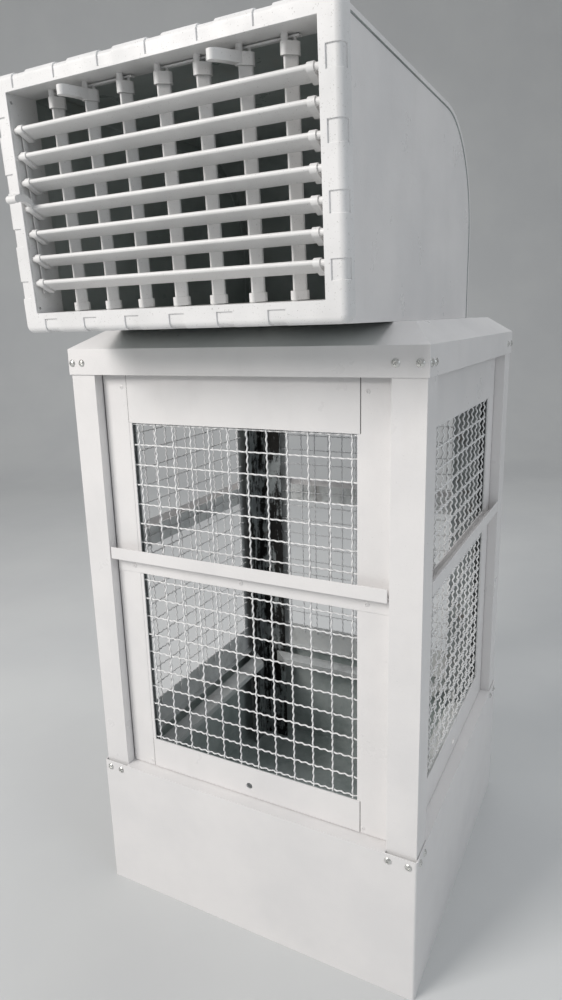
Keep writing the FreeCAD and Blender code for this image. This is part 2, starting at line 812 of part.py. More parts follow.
def make_column_blades():
    """Seven upright blades behind the level ones. Blades two and six carry finger levers."""
    tall = size("opening_height")
    wall = size("sleeve_wall")
    nose = size("column_nose")
    tail = size("column_tail")
    chord = size("column_chord")
    foot_cap = (0.8, 8.8)
    head_cap = (tall - size("column_head") - 10.0, tall - size("column_head"))
    blade_length = head_cap[0] - foot_cap[1] - 0.2
    pin_base = head_cap[1] - 1
    for number in range(1, BLADES + 1):
        solids = [teardrop(nose, tail, chord, foot_cap[1] + 0.1, blade_length)]
        for low, high in (foot_cap, head_cap):
            solids.append(teardrop(nose + 2.25, tail + 1.7, chord - 0.1, low, high - low))
        low_pin = Part.makeCylinder(size("pivot_rad"), wall + 1.6, Vector(0, 0, 0.2 - wall))
        high_pin = Part.makeCylinder(size("pivot_rad"), tall + wall - 0.2 - pin_base, Vector(0, 0, pin_base))
        crank_seat = Vector(size("crank"), 0, pin_base)
        crank = Part.makeCylinder(size("crank_rad"), tall - 0.4 - pin_base, crank_seat)
        solids[1] = solids[1].fuse(low_pin)
        solids[2] = solids[2].fuse([high_pin, crank])
        if number in (2, 6):
            solids[2] = solids[2].fuse(column_lever(head_cap)).removeSplitter()
        pivot = Vector(column_across(number), size("column_depth"), 0)
        place = grille_place() * Placement(pivot, Rotation(Z_AXIS, 90 - column_swing(number)))
        shape = Part.makeCompound(solids)
        publish("column_blade_%d" % number, feature("column_blade_shape_%d" % number, shape, place))


def column_lever(head_cap):
    """A finger lever that reaches forward from the head cap, with a round end that dips slightly."""
    low, high = head_cap
    tip = -size("column_lever")
    rad = 4.0
    plan = Part.makeCylinder(rad, high - low + 4, Vector(tip, 0, low - 2))
    plan = plan.fuse(Part.makeBox(-tip, 2 * rad, high - low + 4, Vector(tip, -rad, low - 2)))

    def at(along, level):
        return Vector(along, -rad - 1, level)

    edges = [
        Part.LineSegment(at(2, high), at(-14, high)).toShape(),
        Part.Arc(at(-14, high), at(-24, high - 0.1), at(tip - 5, high - 0.8)).toShape(),
        Part.LineSegment(at(tip - 5, high - 0.8), at(tip - 5, low + 0.9)).toShape(),
        Part.Arc(at(tip - 5, low + 0.9), at(-18, low + 1.6), at(2, low + 0.8)).toShape(),
        Part.LineSegment(at(2, low + 0.8), at(2, high)).toShape(),
    ]
    outline = Part.Face(Part.Wire(edges)).extrude(Vector(0, 2 * rad + 2, 0))
    lever = plan.common(outline)
    lever.rotate(Vector(), Z_AXIS, size("column_lever_turn"))
    return lever


def make_link_bars():
    """Link bars that gang the blades: one for the level row, two for the upright columns."""
    width = size("link_width")
    thick = size("link_thick")
    hole = size("crank_rad") + size("pivot_clearance")
    end = width / 2 + 2.5
    cap_out = size("row_half_length") + 0.1 + size("cap_width")
    angle = math.radians(size("row_droop"))
    back = size("row_depth") + size("crank") * math.cos(angle)
    drop = size("crank") * math.sin(angle)
    left = -(cap_out + size("opening_half")) / 2 - thick / 2
    low = row_level(BLADES) - drop
    high = row_level(1) - drop
    bar = Part.makeBox(thick, width, high - low + 2 * end, Vector(left, back - width / 2, low - end))
    holes = [
        Part.makeCylinder(hole, 10, Vector(left - 4, back, row_level(number) - drop), X_AXIS)
        for number in range(1, BLADES + 1)
    ]
    publish("row_link_bar", feature("row_link", bar.cut(holes), grille_place()))

    level = size("opening_height") - 2.0 - thick / 2
    for label, first, last in (("column_link_left", 1, 3), ("column_link_right", 4, 7)):
        swing = math.radians(column_swing(first))
        depth = size("column_depth") + size("crank") * math.cos(swing)
        shift = size("crank") * math.sin(swing)
        start = column_across(first) + shift - end
        length = column_across(last) - column_across(first) + 2 * end
        bar = Part.makeBox(length, width, thick, Vector(start, depth - width / 2, level))
        holes = [
            Part.makeCylinder(hole, 10, Vector(column_across(number) + shift, depth, level - 4))
            for number in range(first, last + 1)
        ]
        publish(label, feature(label + "_bar", bar.cut(holes), grille_place()))


# ---------------------------------------------------------------- fan and water works

def make_fan():
    """Motor on a cross bracket under the throat, and a five-blade axial fan on its fixed shaft."""
    center = ("0", "sizes.throat_back")
    motor_top = "(sizes.bracket_top - 3)"
    can_height = "%s - sizes.motor_base" % motor_top
    can = cylinder("motor_can", "sizes.motor_rad", can_height, center + ("sizes.motor_base",))
    shaft = cylinder(
        "motor_shaft", "sizes.shaft_rad", "sizes.fan_base + sizes.fan_hub_height + 4 - sizes.motor_base",
        center + ("sizes.motor_base",),
    )
    publish("fan_motor", fuse("motor", [can, shaft]))

    reach = "(sizes.throat_rad + 2)"
    arms = [
        box(
            "bracket_across", ("-%s" % reach, "sizes.throat_back - 11", motor_top),
            (reach, "sizes.throat_back + 11", "sizes.bracket_top"),
        ),
        box(
            "bracket_along", ("-11", "sizes.throat_back - %s" % reach, motor_top),
            ("11", "sizes.throat_back + %s" % reach, "sizes.bracket_top"),
        ),
        cylinder("bracket_plate", "42", "3", center + (motor_top,)),
    ]
    hole = cylinder("bracket_hole", "sizes.shaft_rad + 2", "9", center + ("%s - 3" % motor_top,))
    publish("motor_bracket", cut("bracket", fuse("bracket_solid", arms), [hole]))

    hub = Part.makeCylinder(size("fan_hub_rad"), size("fan_hub_height"))
    blades = []
    for number in range(5):
        blade = Part.makeBox(size("fan_tip_rad") - 30, 62, 2.5, Vector(30, -31, -1.25))
        blade.rotate(Vector(), X_AXIS, 24)
        blade.translate(Vector(0, 0, size("fan_hub_height") / 2))
        blade.rotate(Vector(), Z_AXIS, 72 * number)
        blades.append(blade)
    sweep = Part.makeCylinder(size("fan_tip_rad"), 80, Vector(0, 0, -20))
    wheel = hub.fuse(blades).common(sweep)
    bore = Part.makeCylinder(size("shaft_rad") + size("pivot_clearance"), 80, Vector(0, 0, -20))
    place = Placement(Vector(0, size("throat_back"), size("fan_base")), Rotation())
    publish("fan_wheel", feature("fan", wheel.cut(bore), place))


def make_pump_and_pipe():
    """Pump in the front right corner of the tank, and the pipe that feeds the pads from above."""
    loop = size("pipe_loop")
    floor = size("sheet")
    base = Part.makeBox(46, 46, 52, Vector(loop - 23, -loop - 23, floor))
    base = base.makeFillet(4, [edge for edge in base.Edges if edge.BoundBox.ZLength > 50])
    spout = Part.makeCylinder(size("pipe_rad") + 2, 14, Vector(loop, -loop, floor + 51))
    bore = Part.makeCylinder(size("pipe_rad") + 0.05, 12, Vector(loop, -loop, floor + 55))
    publish("pump", feature("pump_body", base.fuse(spout).cut(bore)))

    height = size("pipe_height")
    radius = size("pipe_rad")
    riser = Part.makeCylinder(radius, height - floor - 56, Vector(loop, -loop, floor + 56))
    corners = [Vector(x * loop, y * loop, height) for x, y in ((1, -1), (1, 1), (-1, 1), (-1, -1))]
    runs = [riser]
    for start, end in zip(corners, corners[1:] + corners[:1]):
        runs.append(Part.makeCylinder(radius, 2 * loop, start, end - start))
        runs.append(Part.makeSphere(radius, start))
    pipe = runs[0].fuse(runs[1:]).removeSplitter()
    drips = []
    for start, end in zip(corners, corners[1:] + corners[:1]):
        for number in range(1, 8):
            place = start + (end - start) * (number / 8.0)
            drips.append(Part.makeCylinder(1.5, radius, place - Vector(0, 0, radius)))
    publish("water_pipe", feature("pipe", pipe.cut(drips)))


def make_float_valve():
    """Inlet valve through the left wall, with a float arm that swings on a level pin."""
    half = size("cabinet_side") / 2
    back = size("valve_back")
    level = size("valve_height")
    wall = size("sheet")
    thread = Part.makeCylinder(8.0, 26, Vector(-half - 12, back, level), X_AXIS)
    nut = Part.makeCylinder(13.0, 5, Vector(-half - 5, back, level), X_AXIS)
    block = Part.makeBox(14, 18, 20, Vector(-half + wall, back - 9, level - 10))
    pin = Part.makeCylinder(2.0, 12, Vector(-half + 22, back + 2, level - 4), Y_AXIS)
    ear = Part.makeBox(12, 4, 12, Vector(-half + 13, back, level - 10))
    publish("float_valve", feature("valve", thread.fuse([nut, block, ear, pin]).removeSplitter()))

    hinge = Vector(-half + 22, back + 5, level - 4)
    eye = Part.makeCylinder(5.0, 6, hinge, Y_AXIS)
    rod = Part.makeCylinder(2.0, 62, hinge + Vector(4, 3, 0), X_AXIS)
    ball = Part.makeSphere(17.0, hinge + Vector(80, 3, 0))
    hole = Part.makeCylinder(2.0 + size("pivot_clearance"), 10, hinge - Vector(0, 2, 0), Y_AXIS)
    publish("float_arm", feature("arm", eye.fuse([rod, ball]).cut(hole)))


def make_drain_plug():
    """Rubber plug pushed through the rear wall near the floor, with a flange to pull it by."""
    rear = size("tank_depth") / 2
    radius = size("drain_rad")
    shank = Part.makeCylinder(radius, 9, Vector(size("drain_side"), rear - 7, size("drain_height")), Y_AXIS)
    seat = Vector(size("drain_side"), rear + 0.3, size("drain_height"))
    flange = Part.makeCylinder(radius + 5, 5, seat, Y_AXIS)
    flange = flange.makeFillet(1.5, [edge for edge in flange.Edges if edge.BoundBox.YMin > rear + 5])
    publish("drain_plug", feature("plug", shank.fuse(flange)))


def make_cable_gland():
    """Gland for the mains lead on the rear left post."""
    face = size("cabinet_side") / 2 - 2
    place = Vector(size("gland_side"), face, size("gland_height"))
    stem = Part.makeCylinder(8.0, 12, place - Vector(0, 7, 0), Y_AXIS)
    collar = Part.makeCylinder(12.0, 4, place, Y_AXIS)
    dome = Part.makeCone(10.5, 7.0, 10, place + Vector(0, 4, 0), Y_AXIS)
    bore = Part.makeCylinder(4.0, 40, place - Vector(0, 12, 0), Y_AXIS)
    publish("cable_gland", feature("gland", stem.fuse([collar, dome]).cut(bore)))


# ---------------------------------------------------------------- screws

def screw():
    """Pan-head self-tapping screw: dome with a cross recess facing -Y, shank along +Y."""
    dome = Part.makeSphere(6.2, Vector(0, 3.9, 0))
    head = dome.common(Part.makeCylinder(4.4, 3, Vector(0, -3, 0), Y_AXIS))
    shank = Part.makeCylinder(1.7, 7, Vector(), Y_AXIS)
    slots = [
        Part.makeBox(4.8, 1.6, 1.0, Vector(-2.4, -2.6, -0.5)),
        Part.makeBox(1.0, 1.6, 4.8, Vector(-0.5, -2.6, -2.4)),
    ]
    return head.fuse(shank).cut(slots)


def screws_round(offsets, level, front, side):
    """The same screws repeated on the four faces of a box with its own depth and width."""
    screws = []
    for degrees in FACE_TURNS.values():
        distance = front if degrees in (0, 180) else side
        for offset in offsets:
            copy = screw()
            copy.rotate(Vector(), Y_AXIS, 40 + offset)
            copy.translate(Vector(offset, -distance, level))
            copy.rotate(Vector(), Z_AXIS, degrees)
            screws.append(copy)
    return Part.makeCompound(screws)


def make_screws():
    half = size("cabinet_side") / 2
    lid_level = size("lid_base") + 14
    tank_level = size("tank_height") - 9
    lid_screws = screws_round(LID_SCREW_OFFSETS, lid_level, half, half)
    tank_screws = screws_round(TANK_SCREW_OFFSETS, tank_level, size("tank_depth") / 2, half)
    publish("lid_screws", feature("lid_screw_set", lid_screws))
    publish("tank_screws", feature("tank_screw_set", tank_screws))


# ---------------------------------------------------------------- build, check, write

def build():
    make_tank()
    make_posts()
    make_corner_channels()
    make_pad_ledges()
    for side, degrees in FACE_TURNS.items():
        make_panel(side, degrees)
    make_lid()
    make_throat_ring()
    make_hood()
    make_bezel()
    make_sleeve()
    make_row_blades()
    make_column_blades()
    make_link_bars()
    make_fan()
    make_pump_and_pipe()
    make_float_valve()
    make_drain_plug()
    make_cable_gland()
    make_screws()
    doc.recompute()


def check():
    """Stop before anything is written if an object failed or a sub-part has no sound shape."""
    for obj in doc.Objects:
        if "Invalid" in obj.State or "Error" in obj.State:
            raise RuntimeError("%s failed: %s" % (obj.Name, obj.State))
    for label, obj in NODES.items():
        if obj.Shape.isNull() or not obj.Shape.isValid() or obj.Shape.Volume <= 0:
            raise RuntimeError("%s has no sound shape" % label)


def write():
    os.makedirs("parts", exist_ok=True)
    for label, obj in NODES.items():
        obj.Shape.exportStep("parts/%s.step" % label)


build()
check()
write()
print("%d sub-parts written" % len(NODES))
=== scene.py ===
import json
import math

import bmesh
import bpy
from mathutils import Matrix, Vector


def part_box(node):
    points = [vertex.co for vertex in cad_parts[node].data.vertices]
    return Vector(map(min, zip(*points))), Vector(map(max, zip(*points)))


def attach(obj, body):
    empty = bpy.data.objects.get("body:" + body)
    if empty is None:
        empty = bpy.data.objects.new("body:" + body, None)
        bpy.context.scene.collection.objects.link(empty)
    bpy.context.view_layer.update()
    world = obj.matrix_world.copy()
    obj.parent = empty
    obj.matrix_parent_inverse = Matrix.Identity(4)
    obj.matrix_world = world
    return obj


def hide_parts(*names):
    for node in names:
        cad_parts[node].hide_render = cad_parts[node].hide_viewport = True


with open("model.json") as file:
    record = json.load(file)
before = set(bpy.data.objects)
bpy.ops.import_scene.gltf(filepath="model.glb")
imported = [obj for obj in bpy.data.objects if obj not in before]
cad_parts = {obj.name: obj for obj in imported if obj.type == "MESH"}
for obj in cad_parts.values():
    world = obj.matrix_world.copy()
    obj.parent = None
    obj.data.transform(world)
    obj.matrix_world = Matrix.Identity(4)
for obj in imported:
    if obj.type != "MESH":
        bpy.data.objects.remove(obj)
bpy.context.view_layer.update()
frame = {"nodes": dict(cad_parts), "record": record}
NODES = frame["nodes"]
SIDES = {"front": 0, "right": 90, "rear": 180, "left": 270}
MM = 0.001
VIEW_AZIMUTH = math.radians(28.55)
VIEW_ELEVATION = math.radians(13.78)
VIEW_ROLL = math.radians(-1.84)

# paint colours, as linear RGBA: a lit tone and a slightly darker cloud in it
WHITE = (0.80, 0.785, 0.78, 1)
WHITE_CLOUD = (0.74, 0.73, 0.73, 1)


# ---------------------------------------------------------------- camera, light, stage

def add_camera():
    """Camera at the photograph's viewing angle, level of roll and framing."""
    outward = Vector((math.sin(VIEW_AZIMUTH), -math.cos(VIEW_AZIMUTH), 0))
    back = outward * math.cos(VIEW_ELEVATION) + Vector((0, 0, math.sin(VIEW_ELEVATION)))
    level = Vector((math.cos(VIEW_AZIMUTH), math.sin(VIEW_AZIMUTH), 0))
    above = back.cross(level)
    right = level * math.cos(VIEW_ROLL) + above * math.sin(VIEW_ROLL)
    up = above * math.cos(VIEW_ROLL) - level * math.sin(VIEW_ROLL)
    camera = bpy.data.objects.new("camera", bpy.data.cameras.new("camera"))
    bpy.context.scene.collection.objects.link(camera)
    matrix = Matrix((right, up, back)).transposed().to_4x4()
    matrix.translation = Vector((0.40269, -0.88375, 0.78811))
    camera.matrix_world = matrix
    camera.data.lens = 25.2
    camera.data.sensor_width = 36
    camera.data.shift_x = 0.0164
    camera.data.shift_y = -0.0068
    camera.data.clip_start = 0.01
    bpy.context.scene.camera = camera


def add_area(name, place, size, power, color):
    """A square soft light that faces the middle of the cabinet."""
    lamp = bpy.data.lights.new(name, "AREA")
    lamp.energy = power
    lamp.size = size
    lamp.color = color
    obj = bpy.data.objects.new(name, lamp)
    obj.location = place
    obj.rotation_euler = (Vector(place) - Vector((0, 0, 0.6))).to_track_quat("Z", "Y").to_euler()
    bpy.context.scene.collection.objects.link(obj)


def add_light():
    """Warm key from the front left, cool fill from the right, a top light and an even grey world."""
    add_area("key", (-1.3, -2.5, 2.2), 1.3, 70, (1.0, 0.97, 0.94))
    add_area("fill", (2.9, -0.9, 1.5), 1.6, 13, (0.86, 0.93, 1.0))
    add_area("top", (0.3, 0.6, 3.1), 1.8, 24, (0.97, 0.985, 1.0))
    world = bpy.data.worlds.new("studio")
    bpy.context.scene.world = world
    world.use_nodes = True
    background = world.node_tree.nodes["Background"]
    background.inputs["Color"].default_value = (0.86, 0.875, 0.89, 1)
    background.inputs["Strength"].default_value = 0.33
    view = bpy.context.scene.view_settings
    view.view_transform = "Standard"
    view.exposure = 0.12


def add_floor():
    """Pale floor that sweeps up far behind the object, so no line crosses the view."""
    near, bend_start, bend_radius, half_width = -6.0, 2.5, 1.5, 9.0
    profile = [(near, 0.0), (bend_start, 0.0)]
    for degrees in range(6, 91, 6):
        angle = math.radians(degrees)
        away = bend_start + bend_radius * math.sin(angle)
        profile.append((away, bend_radius - bend_radius * math.cos(angle)))
    profile.append((bend_start + bend_radius, 6.0))
    turned = Matrix.Rotation(VIEW_AZIMUTH, 4, "Z")
    rings = []
    for away, height in profile:
        rings.append([turned @ Vector((across, away, height)) for across in (-half_width, half_width)])
    bm = bmesh.new()
    loft(bm, rings, closed=False)
    mesh = bpy.data.meshes.new("floor")
    bm.to_mesh(mesh)
    bm.free()
    for polygon in mesh.polygons:
        polygon.use_smooth = True
    floor = bpy.data.objects.new("floor", mesh)
    bpy.context.scene.collection.objects.link(floor)
    shader = Shader("floor_pale")
    cloud = shader.ramp(shader.noise(3, 3), 0.3, 0.7)
    shader.color(shader.mix(cloud, (0.60, 0.61, 0.615, 1), (0.63, 0.64, 0.64, 1)))
    shader.rough(shader.ramp(shader.noise(20, 3), 0.3, 0.7, 0.75, 0.9))
    floor.data.materials.append(shader.material)


# ---------------------------------------------------------------- materials

class Shader:
    """A Principled material with a few node helpers. Texture space is the object's own metres."""

    def __init__(self, name, metallic=0.0):
        self.material = bpy.data.materials.new(name)
        self.material.use_nodes = True
        self.tree = self.material.node_tree
        self.bsdf = self.tree.nodes["Principled BSDF"]
        self.space = self.node("ShaderNodeTexCoord").outputs["Object"]
        self.bsdf.inputs["Metallic"].default_value = metallic

    def node(self, kind, **settings):
        node = self.tree.nodes.new(kind)
        for name, value in settings.items():
            setattr(node, name, value)
        return node

    def link(self, source, target):
        """Wires a socket to a socket, or sets the socket to a plain value."""
        if isinstance(source, bpy.types.NodeSocket):
            self.tree.links.new(source, target)
        else:
            target.default_value = source

    def noise(self, scale, detail=2.0, roughness=0.5, stretch=None):
        """Cloudy noise, scale in cells a metre. A stretch below 1 draws it out along that axis."""
        texture = self.node("ShaderNodeTexNoise")
        texture.inputs["Scale"].default_value = scale
        texture.inputs["Detail"].default_value = detail
        texture.inputs["Roughness"].default_value = roughness
        source = self.space
        if stretch:
            mapping = self.node("ShaderNodeMapping")
            mapping.inputs["Scale"].default_value = stretch
            self.link(self.space, mapping.inputs["Vector"])
            source = mapping.outputs["Vector"]
        self.link(source, texture.inputs["Vector"])
        return texture.outputs["Fac"]

    def ramp(self, value, low, high, bottom=0.0, top=1.0):
        """Values from low to high become bottom to top, smoothly, and stay there outside."""
        node = self.node("ShaderNodeMapRange", interpolation_type="SMOOTHSTEP")
        self.link(value, node.inputs["Value"])
        node.inputs["From Min"].default_value = low
        node.inputs["From Max"].default_value = high
        node.inputs["To Min"].default_value = bottom
        node.inputs["To Max"].default_value = top
        return node.outputs["Result"]

    def math(self, operation, first, second):
        node = self.node("ShaderNodeMath", operation=operation)
        self.link(first, node.inputs[0])
        self.link(second, node.inputs[1])
        return node.outputs["Value"]

    def mix(self, share, first, second):
        node = self.node("ShaderNodeMix", data_type="RGBA")
        self.link(share, node.inputs["Factor"])
        self.link(first, node.inputs["A"])
        self.link(second, node.inputs["B"])
        return node.outputs["Result"]

    def place(self):
        """The X, Y and Z of the texture space, in metres."""
        node = self.node("ShaderNodeSeparateXYZ")
        self.link(self.space, node.inputs["Vector"])
        return node.outputs

    def bump(self, height, distance, strength=1.0, normal=None):
        node = self.node("ShaderNodeBump")
        node.inputs["Strength"].default_value = strength
        node.inputs["Distance"].default_value = distance
        self.link(height, node.inputs["Height"])
        if normal:
            self.link(normal, node.inputs["Normal"])
        return node.outputs["Normal"]

    def color(self, source):
        self.link(source, self.bsdf.inputs["Base Color"])

    def rough(self, source):
        self.link(source, self.bsdf.inputs["Roughness"])

    def normal(self, source):
        self.link(source, self.bsdf.inputs["Normal"])

    def orange_peel(self):
        """The relief of powder coat: a slow waviness of the sheet under a fine peel."""
        waves = self.bump(self.noise(9, 1), 1.5 * MM, 0.25)
        self.normal(self.bump(self.noise(420, 2, 0.4), 0.11 * MM, 1.0, waves))


def paint(name, base, shade, dust):
    """Powder coat: orange peel, faint waviness of the sheet, cloudy tint and thin dust."""
    shader = Shader(name)
    cloud = shader.ramp(shader.noise(7, 4, 0.6), 0.35, 0.70)
    tint = shader.mix(cloud, base, shade)
    specks = shader.ramp(shader.noise(900, 2), 0.70, 0.78, 0.0, 0.35)
    tint = shader.mix(specks, tint, (0.33, 0.32, 0.30, 1))
    streaks = shader.noise(22, 5, 0.65, stretch=(1, 1, 0.25))
    tint = shader.mix(shader.ramp(streaks, 0.52, 0.75, 0.0, dust), tint, (0.40, 0.36, 0.31, 1))
    shader.color(tint)
    shader.rough(shader.ramp(shader.noise(18, 5, 0.6), 0.3, 0.7, 0.27, 0.42))
    shader.orange_peel()
    return shader.material


def plastic(name, base, shade, specks=0.5, roughness=(0.38, 0.52)):
    """Moulded plastic: fine grain, faint flow clouds and small dark specks."""
    shader = Shader(name)
    tint = shader.mix(shader.ramp(shader.noise(12, 3, 0.6), 0.35, 0.7), base, shade)
    grain = shader.ramp(shader.noise(650, 3, 0.6), 0.62, 0.72, 0.0, specks)
    tint = shader.mix(grain, tint, (0.36, 0.35, 0.33, 1))
    shader.color(tint)
    shader.rough(shader.ramp(shader.noise(60, 3), 0.3, 0.7, *roughness))
    shader.normal(shader.bump(shader.noise(700, 3, 0.6), 0.05 * MM))
    return shader.material


def galvanised(name, base=(0.36, 0.38, 0.39, 1), rust=0.35, grime_and_shade=0.85, metallic=0.75):
    """Dull zinc sheet: spangle, drawn streaks, black grime and a little rust."""
    shader = Shader(name, metallic=metallic)
    cells = shader.node("ShaderNodeTexVoronoi", feature="F1")
    cells.inputs["Scale"].default_value = 120
    shader.link(shader.space, cells.inputs["Vector"])
    spangle = shader.mix(cells.outputs["Distance"], base, (0.70, 0.72, 0.72, 1))
    soot = shader.ramp(shader.noise(16, 6, 0.7), 0.48, 0.66, 0.0, grime_and_shade)
    tint = shader.mix(soot, spangle, (0.045, 0.045, 0.043, 1))
    stain = shader.ramp(shader.noise(30, 5, 0.7, stretch=(1, 1, 0.3)), 0.60, 0.72, 0.0, rust)
    tint = shader.mix(stain, tint, (0.20, 0.10, 0.05, 1))
    shader.color(tint)
    shader.rough(shader.ramp(shader.noise(40, 5, 0.6), 0.3, 0.7, 0.35, 0.68))
    shader.normal(shader.bump(shader.noise(160, 4, 0.6), 0.2 * MM, 0.8))
    return shader.material


def tarred_zinc(name):
    """Zinc corner angles with light rust, and black sealant smeared down the rear left one."""
    shader = Shader(name, metallic=0.4)
    streak = shader.noise(9, 6, 0.72, stretch=(6, 6, 1.1))
    rag = shader.noise(70, 5, 0.7)
    mask = shader.ramp(shader.math("ADD", streak, shader.math("MULTIPLY", rag, 0.35)), 0.62, 0.70)
    place = shader.place()
    left = shader.ramp(place["X"], -0.01, 0.01, 1.0, 0.0)
    rear = shader.ramp(place["Y"], -0.01, 0.01, 0.0, 1.0)
    mask = shader.math("MULTIPLY", mask, shader.math("MULTIPLY", left, rear))
    cloud = shader.ramp(shader.noise(24, 5, 0.7), 0.35, 0.7)
    zinc = shader.mix(cloud, (0.42, 0.45, 0.45, 1), (0.25, 0.27, 0.28, 1))
    rust = shader.mix(shader.ramp(rag, 0.56, 0.68, 0.0, 0.5), zinc, (0.17, 0.09, 0.05, 1))
    shader.color(shader.mix(mask, rust, (0.012, 0.011, 0.010, 1)))
    shader.rough(shader.ramp(rag, 0.3, 0.7, 0.35, 0.75))
    thick = shader.bump(mask, 0.8 * MM, 0.9)
    shader.normal(shader.bump(rag, 0.4 * MM, 0.8, thick))
    return shader.material


def tank_coat(name):
    """The tank: white outside, darker grey-green inside with flecks of dust."""
    shader = Shader(name)
    white = shader.mix(shader.ramp(shader.noise(6, 4, 0.6), 0.35, 0.70), WHITE, WHITE_CLOUD)
    # Clouds of darker grey-green for the inside of the tank.
    inside_cloud = shader.ramp(shader.noise(14, 6, 0.7), 0.40, 0.66)
    scale = shader.mix(inside_cloud, (0.62, 0.67, 0.66, 1), (0.40, 0.46, 0.45, 1))
    grit = shader.ramp(shader.noise(180, 4, 0.7), 0.60, 0.70, 0.0, 0.7)
    dust = shader.mix(grit, scale, (0.56, 0.56, 0.52, 1))
    place = shader.place()
    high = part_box("tank")[1]
    inside = shader.ramp(place["Z"], 0.4 * MM, 0.8 * MM)
    rim = shader.ramp(place["Z"], high.z - 2.2 * MM, high.z - 1.4 * MM, 1.0, 0.0)
    inside = shader.math("MULTIPLY", inside, rim)
    for axis, reach in (("X", high.x), ("Y", high.y)):
        distance = shader.math("ABSOLUTE", place[axis], 0.0)
        wall = shader.ramp(distance, reach - 1.6 * MM, reach - 0.8 * MM, 1.0, 0.0)
        inside = shader.math("MULTIPLY", inside, wall)
    shader.color(shader.mix(inside, white, dust))
    shader.rough(shader.ramp(shader.noise(18, 5, 0.6), 0.3, 0.7, 0.30, 0.50))
    shader.orange_peel()
    return shader.material


def metal(name, base, patch_colour, metallic, roughness):
    """Plated, enamelled or bare metal with patches of dirt; also the painted shade in the panel seams,
    where the patches are lighter.
    """
    shader = Shader(name, metallic=metallic)
    patches = shader.ramp(shader.noise(90, 4, 0.7), 0.5, 0.75, 0.0, 0.6)
    shader.color(shader.mix(patches, base, patch_colour))
    shader.rough(shader.ramp(shader.noise(150, 3), 0.3, 0.7, *roughness))
    shader.normal(shader.bump(shader.noise(500, 3), 0.04 * MM))
    return shader.material


# ---------------------------------------------------------------- mesh helpers

def round_edges(obj, width):
    """Rounds the sharp edges with modifiers, so that they catch the light."""
    bevel = obj.modifiers.new("bevel", "BEVEL")
    bevel.width = width
    bevel.segments = 2
    bevel.limit_method = "ANGLE"
    bevel.angle_limit = math.radians(35)
    normals = obj.modifiers.new("normals", "WEIGHTED_NORMAL")
    normals.keep_sharp = True


def soften(name):
    """Merges the flat triangles of a CAD node and rounds its sharp edges, all by modifiers."""
    obj = NODES[name]
    weld = obj.modifiers.new("weld", "WELD")
    weld.merge_threshold = 0.02 * MM
    merge = obj.modifiers.new("planar", "DECIMATE")
    merge.decimate_type = "DISSOLVE"
    merge.angle_limit = math.radians(1.0)
    merge.delimit = {"MATERIAL"}
    round_edges(obj, 0.4 * MM)
    for polygon in obj.data.polygons:
        polygon.use_smooth = True


def give(material, name):
    """Makes this the only material of a CAD node."""
    slots = NODES[name].data.materials
    slots.clear()
    slots.append(material)


def inward_faces(name, material, centre):
    """Gives a second material to the faces of a CAD node that look towards a point inside it."""
    obj = NODES[name]
    obj.data.materials.append(material)
    for polygon in obj.data.polygons:
        away = polygon.center - centre
        if polygon.normal.dot(away) < -0.3 * away.length:
            polygon.material_index = 1


def piece(name, bm, material, body, degrees, bevel=0.0):
    """Makes a mesh piece from a bmesh, turned about the cabinet's axis, that rides on a body."""
    bmesh.ops.recalc_face_normals(bm, faces=bm.faces)
    mesh = bpy.data.meshes.new(name)
    bm.to_mesh(mesh)
    bm.free()
    mesh.transform(Matrix.Rotation(math.radians(degrees), 4, "Z"))
    mesh.materials.append(material)
    for polygon in mesh.polygons:
        polygon.use_smooth = True
    obj = bpy.data.objects.new(name, mesh)
    bpy.context.scene.collection.objects.link(obj)
    if bevel:
        round_edges(obj, bevel)
    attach(obj, body)
    return obj


def loft(bm, rings, closed=True, capped=True):
    """Joins rings of points into a skin, with a cap on each end ring if they are closed."""
    loops = [[bm.verts.new(point) for point in ring] for ring in rings]
    count = len(loops[0])
    for first, second in zip(loops, loops[1:]):
        for i in range(count if closed else count - 1):
            j = (i + 1) % count
            bm.faces.new((first[i], first[j], second[j], second[i]))
    if closed and capped:
        bm.faces.new(loops[0])
        bm.faces.new(loops[-1])


def block(bm, low, high):
    """A box between two corners, added to a bmesh."""
    corners = ((low[0], low[1]), (high[0], low[1]), (high[0], high[1]), (low[0], high[1]))
    loft(bm, [[(x, y, z) for x, y in corners] for z in (low[2], high[2])])


def holed_plate(bm, low, high, centre, radius, front, back):
    """An upright plate between two corners (x, z) with a round hole through it."""
    corners = [(x, z) for x in (low[0], high[0]) for z in (low[1], high[1])]
    angles = [math.atan2(z - centre[1], x - centre[0]) for x, z in corners]
    angles += [math.tau * i / 32 - math.pi for i in range(32)]
    rings = [[], [], [], []]
    for angle in sorted(set(round(a, 6) for a in angles)):
        dx, dz = math.cos(angle), math.sin(angle)
        limit_x = (high[0] - centre[0] if dx > 0 else centre[0] - low[0]) / max(abs(dx), 1e-9)
        limit_z = (high[1] - centre[1] if dz > 0 else centre[1] - low[1]) / max(abs(dz), 1e-9)
        edge = min(limit_x, limit_z)
        section = ((radius, front), (edge, front), (edge, back), (radius, back))
        for ring, (reach, y) in zip(rings, section):
            ring.append((centre[0] + reach * dx, y, centre[1] + reach * dz))
    loft(bm, rings + rings[:1], capped=False)
    bmesh.ops.remove_doubles(bm, verts=bm.verts, dist=0.001 * MM)


# ---------------------------------------------------------------- crimped mesh

PITCH = 25.4 * MM
COLUMNS = 12
CRIMP = 1.05 * MM
HALF_WAVE = PITCH / 5
STEPS_A_HALF_WAVE = 4
WIRE_RADIUS = 1.0 * MM
WIRE_SIDES = 6


